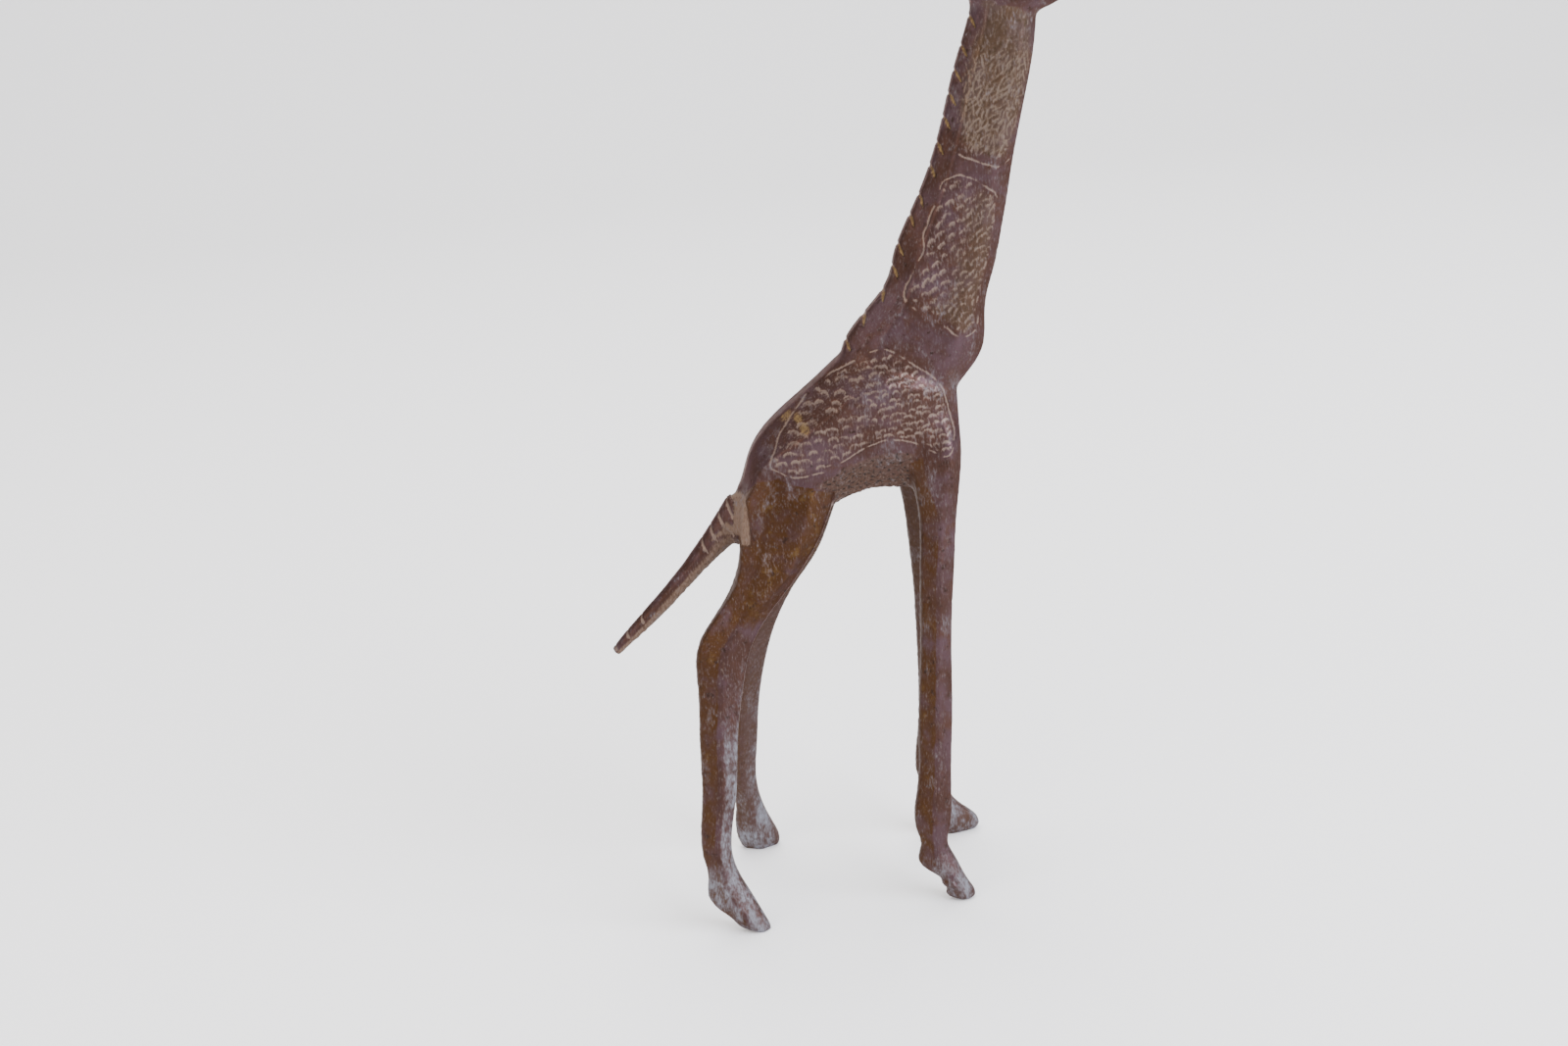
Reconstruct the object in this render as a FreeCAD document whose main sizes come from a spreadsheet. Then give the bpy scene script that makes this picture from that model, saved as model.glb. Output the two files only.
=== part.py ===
"""Small cast bronze giraffe, made as twelve castings that are let into each other and brazed.

Frame: millimetres, +X the way the giraffe faces, +Y its left side, +Z up. The origin is on the table, under the
middle of the figure's outline. The figure paces: both left legs are a step ahead of the right ones.

Every limb is a loft through filed, eight-sided sections. A section stands at a named station of the limb, and its
place, lean, depth (in the plane of the giraffe's profile) and width (across it) are cells of the sheet.
"""

import FreeCAD, Part

import math
import os

import Sketcher

V = FreeCAD.Vector

# ---------------------------------------------------------------------------------------------------------------
# Driving dimensions
# ---------------------------------------------------------------------------------------------------------------

# name: (value, what it is)
DRIVING = {
    "front_splay_foot": (15.8, "side distance from the middle plane to a front foot"),
    "front_splay_rise": (0.120, "how far a front leg closes in per millimetre of height"),
    "hind_splay_foot": (19.2, "side distance from the middle plane to a hind foot"),
    "hind_splay_rise": (0.158, "how far a hind leg closes in per millimetre of height"),
    "ear_scoop_radius": (1.9, "hollow of the ear, at its root"),
    "ear_scoop_tip_radius": (1.2, "hollow of the ear, at its tip"),
    "ear_scoop_length": (6.8, "hollow of the ear, root to tip"),
    "ear_scoop_offset": (2.3, "how far the scooping tool's axis lies in front of the ear's own"),
    "horn_height": (10.6, "ossicone, root to top"),
    "horn_root_radius": (1.55, "ossicone where it leaves the skull"),
    "horn_waist_radius": (1.15, "ossicone at its waist"),
    "horn_knob_radius": (1.6, "round knob on top"),
}

# Filed sections: share of the depth that is a flat side, and shares of the width that are the back and front faces.
SECTION_SHAPE = {
    "torso": (0.46, 0.28, 0.46),
    "neck": (0.56, 0.30, 0.46),
    "head": (0.44, 0.56, 0.50),
    "tail": (0.40, 0.42, 0.42),
    "haunch": (0.48, 0.62, 0.40),
    "shank": (0.14, 0.36, 0.40),
    "ear": (0.24, 0.40, 0.86),
}

# Stations: name: (forward, height, lean, depth, width). Lean is the limb's own direction, in degrees forward of
# upright, and the section stands square to it.
TORSO = {
    "rump": (-31.0, 82.6, 90, 10.6, 7.6),
    "croup": (-27.0, 87.35, 90, 15.9, 13.2),
    "hips": (-20.0, 92.55, 90, 22.3, 17.4),
    "loin": (-11.0, 97.45, 90, 26.3, 18.4),
    "withers": (-3.5, 101.35, 90, 29.1, 18.0),
    "shoulder": (4.0, 101.5, 90, 30.2, 17.2),
    "breast": (11.0, 100.3, 90, 27.0, 14.2),
    "chest": (15.6, 99.8, 90, 21.4, 9.4),
}
NECK = {
    "root": (7.1, 103.0, 0, 17.0, 9.6),
    "breastbone": (6.3, 107.6, 3, 21.4, 11.6),
    "brisket": (6.9, 112.6, 6, 27.0, 13.0),
    "base": (10.3, 119.4, 12, 24.0, 12.2),
    "lower": (14.8, 130.1, 15, 19.6, 10.8),
    "middle": (20.1, 144.2, 15, 16.4, 9.8),
    "upper": (24.5, 158.5, 15, 14.6, 9.2),
    "throat": (27.7, 169.4, 15, 14.0, 8.8),
    "nape": (30.0, 178.6, 15, 12.4, 8.0),
}
HEAD = {
    "occiput": (23.2, 182.2, 84, 6.4, 5.6),
    "poll": (27.0, 182.6, 84, 12.0, 8.8),
    "brow": (33.5, 183.6, 84, 14.4, 10.2),
    "cheek": (40.0, 184.2, 84, 11.2, 8.8),
    "nose": (46.5, 185.1, 84, 8.2, 6.6),
    "lip": (53.0, 185.7, 85, 7.2, 6.0),
    "muzzle": (57.6, 186.0, 86, 5.2, 4.6),
}
TAIL = {
    "root": (-28.8, 85.2, 217, 7.8, 6.2),
    "dock": (-34.1, 79.4, 221, 6.0, 5.2),
    "bend": (-39.5, 74.1, 227, 4.3, 4.6),
    "switch": (-45.8, 67.8, 229, 3.6, 3.8),
    "tuft": (-52.4, 61.8, 229, 3.0, 3.3),
    "tip": (-58.1, 56.7, 230, 1.9, 2.1),
}

# Leg stations, from the tenon in the torso down: name: (forward, height, depth, width, ahead). The sections are
# level. Ahead is how far the left leg's section stands in front of the right one's.
FRONT_LEG = {
    "tenon": (10.8, 104.0, 6.8, 5.0, -2.0),
    "shoulder": (10.4, 97.0, 10.2, 7.8, -2.2),
    "elbow": (10.0, 89.0, 9.8, 8.0, -2.2),
    "forearm": (9.6, 81.0, 7.6, 7.4, -1.8),
    "arm": (8.7, 72.0, 6.9, 6.9, -0.6),
    "knee": (7.1, 56.0, 6.3, 6.4, 1.2),
    "cannon": (5.6, 40.0, 6.9, 6.3, 2.8),
    "shin": (3.9, 24.0, 7.1, 6.1, 3.5),
    "fetlock": (3.0, 15.5, 6.8, 5.8, 3.7),
}
HIND_LEG = {
    "tenon": (-15.6, 98.5, 6.4, 4.6, 1.0),
    "hip": (-18.2, 93.0, 12.4, 7.2, 1.4),
    "thigh": (-20.5, 86.0, 18.4, 9.0, 2.4),
    "flank": (-22.6, 79.0, 16.0, 8.8, 3.6),
    "stifle": (-26.0, 72.0, 12.8, 8.2, 5.4),
    "gaskin": (-30.8, 66.0, 11.2, 7.7, 6.8),
    "hock": (-35.9, 58.6, 10.9, 7.2, 7.4),
    "point": (-37.4, 51.5, 9.3, 6.9, 6.8),
    "cannon": (-39.0, 40.0, 7.7, 6.4, 6.2),
    "shin": (-40.4, 27.0, 6.8, 6.0, 6.2),
    "fetlock": (-41.7, 16.0, 5.9, 5.7, 7.1),
}
# The top of a leg has broad flat sides. Below it, a ridge runs down the side of the leg to the foot.
HAUNCH_STATIONS = ("tenon", "shoulder", "elbow", "hip", "thigh", "flank", "stifle")
# Foot stations: name: (forward of the fetlock, height, depth, width). A raised foot stands on its toe.
FRONT_RAISED_FOOT = {
    "pastern": (0.0, 12.4, 5.6, 5.2),
    "heel": (0.1, 9.6, 7.4, 5.6),
    "ball": (2.2, 6.2, 6.3, 5.6),
    "toe": (4.4, 2.8, 5.2, 5.2),
    "sole": (5.6, 0.0, 3.3, 4.4),
}
FRONT_FLAT_FOOT = {
    "pastern": (0.3, 12.2, 6.1, 5.4),
    "heel": (0.4, 8.8, 7.2, 5.8),
    "ball": (1.7, 5.4, 10.2, 6.2),
    "toe": (3.4, 2.4, 12.2, 6.0),
    "sole": (3.6, 0.0, 10.4, 5.0),
}
HIND_RAISED_FOOT = {
    "pastern": (0.7, 12.4, 6.3, 5.4),
    "heel": (1.3, 8.8, 8.4, 5.8),
    "ball": (2.8, 5.8, 8.2, 5.8),
    "toe": (5.0, 2.8, 6.4, 5.4),
    "sole": (7.5, 0.0, 3.6, 4.4),
}
HIND_FLAT_FOOT = {
    "pastern": (0.7, 12.2, 5.6, 5.4),
    "heel": (1.0, 8.8, 6.8, 5.8),
    "ball": (1.5, 5.2, 8.4, 6.2),
    "toe": (2.2, 2.2, 9.0, 6.0),
    "sole": (2.4, 0.0, 7.4, 5.0),
}

# Ear stations, out from the root along the ear: name: (distance, thickness, width).
EAR = {
    "root": (0.0, 2.0, 1.8),
    "cup": (3.2, 2.3, 4.2),
    "blade": (6.6, 1.7, 3.7),
    "tip": (9.6, 0.7, 0.9),
}
EAR_SCOOP_START = 2.0

HORN_PLACE = (30.8, 2.35, 188.8)
HORN_LEAN_BACK = 14.0
HORN_LEAN_OUT = 9.0
EAR_PLACE = (27.4, 5.2, 185.6)
EAR_AXIS = (-0.50, 0.72, 0.48)
EAR_TURN = 24.0

# ---------------------------------------------------------------------------------------------------------------
# The document and its sheet
# ---------------------------------------------------------------------------------------------------------------

doc = FreeCAD.newDocument("giraffe")
sheet = doc.addObject("Spreadsheet::Sheet", "Sheet")
next_row = 1


def cell(alias, value):
    """Puts one number in the sheet under its alias, and returns the expression that reads it."""
    global next_row
    sheet.set(f"A{next_row}", alias)
    sheet.set(f"B{next_row}", str(value))
    sheet.setAlias(f"B{next_row}", alias)
    next_row += 1
    return f"Sheet.{alias}"


def fill_sheet():
    for alias, (value, _) in DRIVING.items():
        cell(alias, value)
    for kind, shares in SECTION_SHAPE.items():
        for part, share in zip(("flat", "back", "front"), shares):
            cell(f"{kind}_{part}_share", share)
    limbs = {"torso": TORSO, "neck": NECK, "head": HEAD, "tail": TAIL}
    for limb, stations in limbs.items():
        for station, sizes in stations.items():
            for part, size in zip(("forward", "height", "lean", "depth", "width"), sizes):
                cell(f"{limb}_{station}_{part}", size)
    legs = {
        "front": FRONT_LEG,
        "hind": HIND_LEG,
        "front_raised": FRONT_RAISED_FOOT,
        "front_flat": FRONT_FLAT_FOOT,
        "hind_raised": HIND_RAISED_FOOT,
        "hind_flat": HIND_FLAT_FOOT,
    }
    for leg, stations in legs.items():
        for station, sizes in stations.items():
            for part, size in zip(("forward", "height", "depth", "width", "ahead"), sizes):
                cell(f"{leg}_{station}_{part}", size)
    for station, sizes in EAR.items():
        for part, size in zip(("distance", "thickness", "width"), sizes):
            cell(f"ear_{station}_{part}", size)
    doc.recompute()


def value(expression):
    """The number that an expression of sheet cells gives now."""
    return float(sheet.evalExpression(expression))


# ---------------------------------------------------------------------------------------------------------------
# Filed sections and lofts
# ---------------------------------------------------------------------------------------------------------------


def filed_section(body, name, kind, place, lean, depth, width):
    """An eight-sided section of a limb in its own sketch: two flat sides, a back and a front face, four bevels.

    place is the expressions of its centre, and lean, depth and width are expressions too. In the sketch, X is the
    limb's depth, positive to the front of the limb, and Y is its width.
    """
    origin_plane = next(f for f in body.Origin.OriginFeatures if f.Role == "XY_Plane")
    sketch = body.newObject("Sketcher::SketchObject", name)
    sketch.AttachmentSupport = [(origin_plane, "")]
    sketch.MapMode = "FlatFace"
    sketch.AttachmentOffset = FreeCAD.Placement(V(0, 0, 0), FreeCAD.Rotation(V(0, 1, 0), value(lean)))
    for axis, expression in zip("xyz", place):
        sketch.setExpression(f"AttachmentOffset.Base.{axis}", expression)
    sketch.setExpression("AttachmentOffset.Rotation.Angle", lean)

    flat, back, front = (value(f"Sheet.{kind}_{part}_share") for part in ("flat", "back", "front"))
    half_depth, half_width = value(depth) / 2, value(width) / 2
    right_side = [
        V(-half_depth, -half_width * back, 0),
        V(-half_depth * flat, -half_width, 0),
        V(half_depth * flat, -half_width, 0),
        V(half_depth, -half_width * front, 0),
    ]
    corners = right_side + [V(p.x, -p.y, 0) for p in reversed(right_side)]
    for start, end in zip(corners, corners[1:] + corners[:1]):
        sketch.addGeometry(Part.LineSegment(start, end))
    start_point, end_point = 1, 2
    x_axis, y_axis = -1, -2
    count = len(corners)
    for line in range(count):
        sketch.addConstraint(
            Sketcher.Constraint("Coincident", line, end_point, (line + 1) % count, start_point)
        )
    for line in range(count // 2):
        sketch.addConstraint(
            Sketcher.Constraint("Symmetric", line, start_point, count - 1 - line, start_point, x_axis)
        )
    # The two flat sides stand evenly about the sketch's Y axis, and so do the back and front faces.
    flat_side, front_face = 1, 3
    sketch.addConstraint(
        Sketcher.Constraint("Symmetric", flat_side, start_point, flat_side, end_point, y_axis)
    )
    sizes = (
        ("flat", "DistanceX", flat_side, start_point, flat_side, end_point, f"{depth} * Sheet.{kind}_flat_share"),
        ("width", "DistanceY", flat_side, start_point, 6, start_point, width),
        ("front", "DistanceY", front_face, start_point, front_face, end_point, f"{width} * Sheet.{kind}_front_share"),
        ("back", "DistanceY", 0, start_point, 7, start_point, f"{width} * Sheet.{kind}_back_share"),
        ("depth", "DistanceX", 0, start_point, front_face, start_point, depth),
        ("reach", "DistanceX", -1, 1, front_face, start_point, f"{depth} / 2"),
    )
    for label, kind_of, first, first_end, second, second_end, expression in sizes:
        index = sketch.addConstraint(
            Sketcher.Constraint(kind_of, first, first_end, second, second_end, value(expression))
        )
        sketch.renameConstraint(index, label)
        sketch.setExpression(f"Constraints.{label}", expression)
    return sketch


def loft_body(label, sections_of):
    """A body whose one feature is a smooth loft through the sections that sections_of makes in it."""
    body = doc.addObject("PartDesign::Body", label)
    body.Label = label
    sections = sections_of(body)
    loft = body.newObject("PartDesign::AdditiveLoft", f"{label}_loft")
    loft.Profile = sections[0]
    loft.Sections = sections[1:]
    loft.Ruled = False
    return body


def limb_blank(limb, stations, label):
    """A limb in the middle plane, lofted through its stations."""

    def sections(body):
        return [
            filed_section(
                body,
                f"{limb}_{station}",
                limb,
                (f"Sheet.{limb}_{station}_forward", "0", f"Sheet.{limb}_{station}_height"),
                f"Sheet.{limb}_{station}_lean",
                f"Sheet.{limb}_{station}_depth",
                f"Sheet.{limb}_{station}_width",
            )
            for station in stations
        ]

    return loft_body(label, sections)


def leg(pair, side, stations, foot, foot_stations):
    """One leg with its foot, from the tenon in the torso to the sole.

    side is 1 for left and -1 for right.
    """
    label = f"{pair}_leg_{'left' if side > 0 else 'right'}"

    def section(body, station, cells, forward, ahead):
        height = f"{cells}_height"
        across = f"{side} * (Sheet.{pair}_splay_foot - {height} * Sheet.{pair}_splay_rise)"
        place = (f"{forward} + {ahead}" if side > 0 else forward, across, height)
        kind = "haunch" if station in HAUNCH_STATIONS else "shank"
        return filed_section(
            body, f"{label}_{station}", kind, place, "0", f"{cells}_depth", f"{cells}_width"
        )

    def sections(body):
        made = []
        for station in stations:
            cells = f"Sheet.{pair}_{station}"
            made.append(section(body, station, cells, f"{cells}_forward", f"{cells}_ahead"))
        fetlock = f"Sheet.{pair}_fetlock"
        for station in foot_stations:
            cells = f"Sheet.{foot}_{station}"
            forward = f"{fetlock}_forward + {cells}_forward"
            made.append(section(body, station, cells, forward, f"{fetlock}_ahead"))
        return made

    return loft_body(label, sections)


# ---------------------------------------------------------------------------------------------------------------
# Small pieces
# ---------------------------------------------------------------------------------------------------------------


def horn(side):
    """An ossicone: a waisted stem with a round knob, turned about its own axis and set into the skull."""
    name = f"horn_{'left' if side > 0 else 'right'}"
    body = doc.addObject("PartDesign::Body", name)
    plane = next(f for f in body.Origin.OriginFeatures if f.Role == "XZ_Plane")
    sketch = body.newObject("Sketcher::SketchObject", f"{name}_profile")
    sketch.AttachmentSupport = [(plane, "")]
    sketch.MapMode = "FlatFace"
    root, waist, knob, height = (
        value(f"Sheet.horn_{part}") for part in ("root_radius", "waist_radius", "knob_radius", "height")
    )
    shoulder = height - knob - math.sqrt(knob**2 - waist**2)
    waist_height = shoulder * 0.75
    outline = [V(0, 0, 0), V(root, 0, 0), V(waist, waist_height, 0), V(waist, shoulder, 0), V(0, height, 0)]
    lines = list(zip(outline, outline[1:]))
    for start, end in lines[:3]:
        sketch.addGeometry(Part.LineSegment(start, end))
    centre = V(0, height - knob, 0)
    start_angle = math.atan2(shoulder - centre.y, waist)
    circle = Part.Circle(centre, V(0, 0, 1), knob)
    sketch.addGeometry(Part.ArcOfCircle(circle, start_angle, math.pi / 2))
    sketch.addGeometry(Part.LineSegment(V(0, height, 0), V(0, 0, 0)))
    base, stem_cone, stem, ball, axis = range(5)
    joins = ((base, 2, stem_cone, 1), (stem_cone, 2, stem, 1), (stem, 2, ball, 1), (ball, 2, axis, 1))
    for join in joins + ((axis, 2, base, 1),):
        sketch.addConstraint(Sketcher.Constraint("Coincident", *join))
    sketch.addConstraint(Sketcher.Constraint("Coincident", base, 1, -1, 1))
    sketch.addConstraint(Sketcher.Constraint("Horizontal", base))
    sketch.addConstraint(Sketcher.Constraint("Vertical", stem))
    sketch.addConstraint(Sketcher.Constraint("Vertical", axis))
    sketch.addConstraint(Sketcher.Constraint("PointOnObject", ball, 3, axis))
    sizes = (
        ("root", ("DistanceX", base, 1, base, 2), "Sheet.horn_root_radius"),
        ("waist", ("DistanceX", axis, 2, stem, 1), "Sheet.horn_waist_radius"),
        ("rise", ("DistanceY", base, 2, stem, 1), f"Sheet.horn_height * {waist_height / height:.4f}"),
        ("height", ("DistanceY", axis, 2, axis, 1), "Sheet.horn_height"),
        ("knob", ("Radius", ball), "Sheet.horn_knob_radius"),
    )
    for label, what, expression in sizes:
        index = sketch.addConstraint(Sketcher.Constraint(*what, value(expression)))
        sketch.renameConstraint(index, label)
        sketch.setExpression(f"Constraints.{label}", expression)
    turned = body.newObject("PartDesign::Revolution", f"{name}_turned")
    turned.Profile = sketch
    turned.ReferenceAxis = (sketch, ["V_Axis"])
    turned.Angle = 360
    lean = FreeCAD.Rotation(V(0, 1, 0), -HORN_LEAN_BACK) * FreeCAD.Rotation(V(1, 0, 0), -side * HORN_LEAN_OUT)
    forward, across, up = HORN_PLACE
    body.Placement = FreeCAD.Placement(V(forward, side * across, up), lean)
    return body


def ear(side):
    """A leaf-shaped ear with a hollow in front, lofted along its own axis. Its root is inside the skull."""
    name = f"ear_{'left' if side > 0 else 'right'}"

    def sections(body):
        return [
            filed_section(
                body,
                f"{name}_{station}",
                "ear",
                ("0", "0", f"Sheet.ear_{station}_distance"),
                "0",
                f"Sheet.ear_{station}_thickness",
                f"Sheet.ear_{station}_width",
            )
            for station in EAR
        ]

    leaf = loft_body(f"{name}_leaf", sections)
    along = V(EAR_AXIS[0], side * EAR_AXIS[1], EAR_AXIS[2])
    turn = FreeCAD.Rotation(V(0, 0, 1), along) * FreeCAD.Rotation(V(0, 0, 1), side * EAR_TURN)
    forward, across, up = EAR_PLACE
    leaf.Placement = FreeCAD.Placement(V(forward, side * across, up), turn)

    scoop = doc.addObject("Part::Cone", f"{name}_scoop")
    scoop.setExpression("Radius1", "Sheet.ear_scoop_radius")
    scoop.setExpression("Radius2", "Sheet.ear_scoop_tip_radius")
    scoop.setExpression("Height", "Sheet.ear_scoop_length")
    start = V(value("Sheet.ear_scoop_offset"), 0, EAR_SCOOP_START)
    scoop.Placement = leaf.Placement * FreeCAD.Placement(start, FreeCAD.Rotation())
    cut = doc.addObject("Part::Cut", name)
    cut.Base, cut.Tool = leaf, scoop
    return cut


def let_in(label, blank, *pieces):
    """The piece called label: its blank, with a socket cut for each piece that is let into it."""
    tool = pieces[0]
    if len(pieces) > 1:
        tool = doc.addObject("Part::MultiFuse", f"{label}_sockets")
        tool.Shapes = list(pieces)
    cut = doc.addObject("Part::Cut", f"{label}_cut")
    cut.Base, cut.Tool = blank, tool
    cut.Label = label
    return cut


# ---------------------------------------------------------------------------------------------------------------
# The giraffe
# ---------------------------------------------------------------------------------------------------------------

fill_sheet()

front_legs = [
    leg("front", 1, FRONT_LEG, "front_flat", FRONT_FLAT_FOOT),
    leg("front", -1, FRONT_LEG, "front_raised", FRONT_RAISED_FOOT),
]
hind_legs = [
    leg("hind", 1, HIND_LEG, "hind_flat", HIND_FLAT_FOOT),
    leg("hind", -1, HIND_LEG, "hind_raised", HIND_RAISED_FOOT),
]
tail = limb_blank("tail", TAIL, "tail")
horns = [horn(1), horn(-1)]
ears = [ear(1), ear(-1)]

neck = limb_blank("neck", NECK, "neck")
torso = let_in("torso", limb_blank("torso", TORSO, "torso_blank"), neck, tail, *front_legs, *hind_legs)
head = let_in("head", limb_blank("head", HEAD, "head_blank"), neck, *horns, *ears)

pieces = [torso, neck, head, tail, *front_legs, *hind_legs, *horns, *ears]
doc.recompute()

# ---------------------------------------------------------------------------------------------------------------
# Checks and export
# ---------------------------------------------------------------------------------------------------------------

failed = [o.Name for o in doc.Objects if {"Invalid", "Error"} & set(o.State)]
if failed:
    raise RuntimeError(f"these objects failed to recompute: {failed}")

os.makedirs("parts", exist_ok=True)
for piece in pieces:
    shape = piece.Shape
    if shape.isNull() or not shape.isValid() or not shape.Solids:
        raise RuntimeError(f"{piece.Label} is not a valid solid")
    shape.exportStep(f"parts/{piece.Label}.step")
    box = shape.BoundBox
    print(
        f"{piece.Label:16s} {shape.Volume:8.1f} mm3, {len(shape.Solids)} solid,"
        f" x {box.XMin:6.1f} to {box.XMax:6.1f}, y {box.YMin:6.1f} to {box.YMax:6.1f},"
        f" z {box.ZMin:6.1f} to {box.ZMax:6.1f}"
    )
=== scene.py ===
import math

import bpy
import numpy as np
from mathutils import Matrix, Vector
from mathutils.bvhtree import BVHTree
from mathutils.kdtree import KDTree


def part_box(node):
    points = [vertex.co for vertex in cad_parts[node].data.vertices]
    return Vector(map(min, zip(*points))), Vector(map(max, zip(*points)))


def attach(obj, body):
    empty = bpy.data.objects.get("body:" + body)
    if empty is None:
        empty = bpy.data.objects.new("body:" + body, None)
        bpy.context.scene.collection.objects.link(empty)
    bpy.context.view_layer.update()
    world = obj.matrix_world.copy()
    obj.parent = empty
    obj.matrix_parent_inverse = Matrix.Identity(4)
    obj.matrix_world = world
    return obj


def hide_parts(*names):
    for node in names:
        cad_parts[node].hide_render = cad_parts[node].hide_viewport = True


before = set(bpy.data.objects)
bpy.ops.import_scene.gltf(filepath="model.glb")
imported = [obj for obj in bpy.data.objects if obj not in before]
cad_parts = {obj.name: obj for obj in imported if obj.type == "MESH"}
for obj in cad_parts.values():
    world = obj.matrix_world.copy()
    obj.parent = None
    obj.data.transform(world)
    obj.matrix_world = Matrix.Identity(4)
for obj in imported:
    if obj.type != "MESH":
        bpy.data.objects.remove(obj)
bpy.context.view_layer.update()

# --------------------------------------------------------------------------------------------------
# The casting
# The real figure is solid bronze, cast by the lost-wax way. Its parts were joined in wax, so the
# metal runs on from limb to limb with a soft fillet. Here the twelve solids become one fine skin,
# which is cut up into pieces again further on.
# --------------------------------------------------------------------------------------------------

MM = 0.001
# The skin's mesh is half as coarse as this.
SKIN_GRID_MM = 0.44
# How far from a joint the wax was smoothed, for each kind of piece.
FILLET_MM = {
    "leg": 4.5,
    "neck": 5.5,
    "tail": 2.6,
    "head": 2.0,
    "horn": 0.7,
    "ear": 0.8,
}
# Fillets of this size and above are smoothed fully, and smaller ones less.
FULL_FILLET_MM = 3.0
FILLET_ROUNDS = 70
FILLET_PULL = 0.5
# The share of the smoothing that is let through where it would take metal off.
EDGE_LOSS = 0.25
FILING_ROUNDS = 4
FILING_PULL = 0.4
RAISED_FOOT = "front_leg_right"
RAISED_FOOT_TOP_MM = 8.0


def new_mesh_object(name, mesh):
    made = bpy.data.objects.new(name, mesh)
    bpy.context.scene.collection.objects.link(made)
    return made


def evaluated_copy(source):
    """The mesh that an object's modifiers give, with the object itself removed."""
    depsgraph = bpy.context.evaluated_depsgraph_get()
    mesh = bpy.data.meshes.new_from_object(source.evaluated_get(depsgraph))
    bpy.data.objects.remove(source)
    return mesh


def joined_solids(nodes):
    """One mesh with the shells of all the CAD nodes in it."""
    corners, faces, start = [], [], 0
    for node in nodes:
        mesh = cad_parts[node].data
        place = np.empty(len(mesh.vertices) * 3)
        mesh.vertices.foreach_get("co", place)
        corners.append(place.reshape(-1, 3))
        faces += [[start + v for v in polygon.vertices] for polygon in mesh.polygons]
        start += len(mesh.vertices)
    mesh = bpy.data.meshes.new("solids")
    mesh.from_pydata(np.concatenate(corners), [], faces)
    mesh.validate()
    return mesh


def vertex_places(mesh):
    place = np.empty(len(mesh.vertices) * 3)
    mesh.vertices.foreach_get("co", place)
    return place.reshape(-1, 3) / MM


def vertex_normals(mesh):
    normal = np.empty(len(mesh.vertices) * 3)
    mesh.vertex_normals.foreach_get("vector", normal)
    return normal.reshape(-1, 3)


def set_places(mesh, place_mm):
    mesh.vertices.foreach_set("co", (place_mm * MM).ravel())
    mesh.update()


def edge_ends(mesh):
    ends = np.empty(len(mesh.edges) * 2, np.int64)
    mesh.edges.foreach_get("vertices", ends)
    return ends.reshape(-1, 2)


def neighbour_mean(values, ends):
    """The mean over each vertex's neighbours of values, which has one row per vertex."""
    first, second = ends[:, 0], ends[:, 1]
    count = np.bincount(ends.ravel(), minlength=len(values))
    columns = []
    for column in values.reshape(len(values), -1).T:
        total = np.bincount(first, column[second], len(values))
        total = total + np.bincount(second, column[first], len(values))
        columns.append(total / np.maximum(count, 1))
    return np.stack(columns, -1).reshape(values.shape)


def relax(place, ends, weight, rounds):
    """Draws each point towards its neighbours by its weight, rounds times."""
    for _ in range(rounds):
        place = place + weight[:, None] * (neighbour_mean(place, ends) - place)
    return place


def smooth_step(share):
    """0 below 0, 1 above 1, and a soft rise between."""
    share = np.clip(share, 0.0, 1.0)
    return share * share * (3.0 - 2.0 * share)


class Owners:
    """Tells which CAD node a point of the skin belongs to: the one whose surface is nearest."""

    def __init__(self, nodes):
        corners, faces, self.of_face = [], [], []
        for index, node in enumerate(nodes):
            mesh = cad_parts[node].data
            faces += [[len(corners) + v for v in polygon.vertices] for polygon in mesh.polygons]
            corners += [v.co.copy() for v in mesh.vertices]
            self.of_face += [index] * len(mesh.polygons)
        self.tree = BVHTree.FromPolygons(corners, faces)

    def of(self, place_mm):
        nearest = self.tree.find_nearest
        return np.array([self.of_face[nearest(Vector(p))[2]] for p in place_mm * MM])


NODES = sorted(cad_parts)
owners = Owners(NODES)

shell = new_mesh_object("shell", joined_solids(NODES))
remesh = shell.modifiers.new("union", "REMESH")
remesh.mode = "VOXEL"
remesh.voxel_size = SKIN_GRID_MM * MM
blank = evaluated_copy(shell)

place, ends = vertex_places(blank), edge_ends(blank)
owner = owners.of(place)


def fillet_weight(place, ends, owner):
    """1 at a joint between two pieces, falling to 0 over the fillet of the smaller piece."""
    crossing = ends[owner[ends[:, 0]] != owner[ends[:, 1]]]
    head_joint = (owner[crossing] == NODES.index("head")).any(1)
    neck_joint = (owner[crossing] == NODES.index("neck")).any(1)
    weight = np.zeros(len(place))
    for kind, reach in FILLET_MM.items():
        of_kind = np.array([kind in node for node in NODES])
        at_joint = of_kind[owner[crossing]].any(1)
        # The joint under the jaw has the head's fillet. The horns and the ears have their own.
        if kind == "neck":
            at_joint &= ~head_joint
        if kind == "head":
            at_joint &= neck_joint
        starts = crossing[at_joint, 0]
        tree = KDTree(len(starts))
        for index, vertex in enumerate(starts):
            tree.insert(Vector(place[vertex]), index)
        tree.balance()
        distance = np.array([tree.find(Vector(p))[2] for p in place])
        strength = min(1.0, (reach / FULL_FILLET_MM) ** 2)
        weight = np.maximum(weight, np.exp(-((distance / reach) ** 2)) * strength)
    return weight


weight = fillet_weight(place, ends, owner)
# The sole of the raised front foot was filed straight from the heel to the toe.
raised_foot = (owner == NODES.index(RAISED_FOOT)) * smooth_step((RAISED_FOOT_TOP_MM - place[:, 2]) / 2.0)
weight = np.maximum(weight, 0.9 * raised_foot)
softened = relax(place, ends, FILLET_PULL * weight, FILLET_ROUNDS)
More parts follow.
